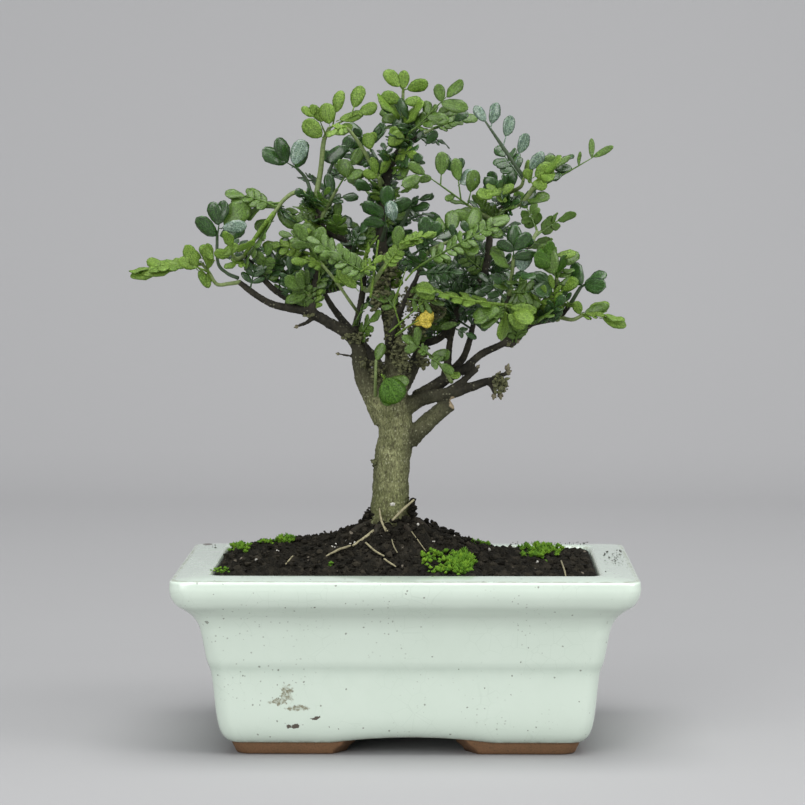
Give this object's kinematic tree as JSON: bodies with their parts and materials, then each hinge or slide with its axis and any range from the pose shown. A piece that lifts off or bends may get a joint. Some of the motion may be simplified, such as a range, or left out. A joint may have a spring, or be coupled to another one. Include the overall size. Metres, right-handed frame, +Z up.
{
  "type": "bonsai tree in a pot",
  "caption": "Small broad crowned bonsai tree with pinnate leaves, standing in mounded soil in a glazed oblong pot on four low corner feet.",
  "frame": {"origin": "middle of the bounding box on the surface that the pot stands on", "axes": "+Z up, +X along the pot's long side to the right of the tree's front, -Y toward the front"},
  "size_m": [0.2302, 0.155, 0.307],
  "materials": {
    "pot_glaze": "glossy pale celadon glaze, bare brown stoneware on the feet",
    "screen_plastic": "matt black plastic mesh",
    "soil": "loose dark crumbs, matt",
    "bark": "rough olive grey bark with upright fissures",
    "leaf_dark": "glossy dark green leaf",
    "leaf_mid": "satin mid green leaf",
    "leaf_light": "satin bright yellow green young leaf",
    "leaf_yellow": "matt yellow leaf"
  },
  "bodies": {
    "root": {"pot": "pot_glaze", "drain_screen_left": "screen_plastic", "drain_screen_right": "screen_plastic", "soil": "soil", "tree_wood": "bark", "spray_left_tip": "leaf_light", "spray_left_riser": "leaf_dark", "spray_left_fan": "leaf_light", "spray_left_inner": "leaf_dark", "spray_arch_left": "leaf_mid", "spray_gloss_left": "leaf_dark", "spray_light_shoot": "leaf_light", "spray_behind_shoot": "leaf_dark", "spray_round_mid": "leaf_mid", "spray_curl": "leaf_light", "spray_crown_back": "leaf_dark", "spray_bud_bright": "leaf_light", "spray_top": "leaf_light", "spray_arch_right": "leaf_mid", "spray_strip_right": "leaf_mid", "spray_centre_right": "leaf_mid", "spray_star": "leaf_dark", "spray_dark_strips": "leaf_dark", "spray_long_strip": "leaf_mid", "spray_bright_strip": "leaf_light", "spray_fan_left": "leaf_light", "spray_mid_left": "leaf_mid", "spray_twig_top": "leaf_light", "spray_twig_low": "leaf_mid", "spray_arc_right": "leaf_dark", "spray_right_bright": "leaf_light", "spray_small_bright": "leaf_light", "spray_gloss_right": "leaf_dark", "spray_bright_tall": "leaf_light", "spray_right_pair": "leaf_dark", "spray_right_tip": "leaf_light", "spray_low_right": "leaf_light", "leaf_yellow": "leaf_yellow", "leaf_trunk_small": "leaf_mid", "leaf_trunk_bright": "leaf_mid", "spray_low_petiole": "leaf_mid", "spray_inner_left": "leaf_dark", "spray_inner_low": "leaf_dark", "spray_inner_centre": "leaf_dark", "spray_inner_right": "leaf_dark", "spray_back_left": "leaf_mid", "spray_back_mid": "leaf_mid", "spray_back_centre": "leaf_dark", "spray_back_right": "leaf_mid"}
  },
  "joints": []
}
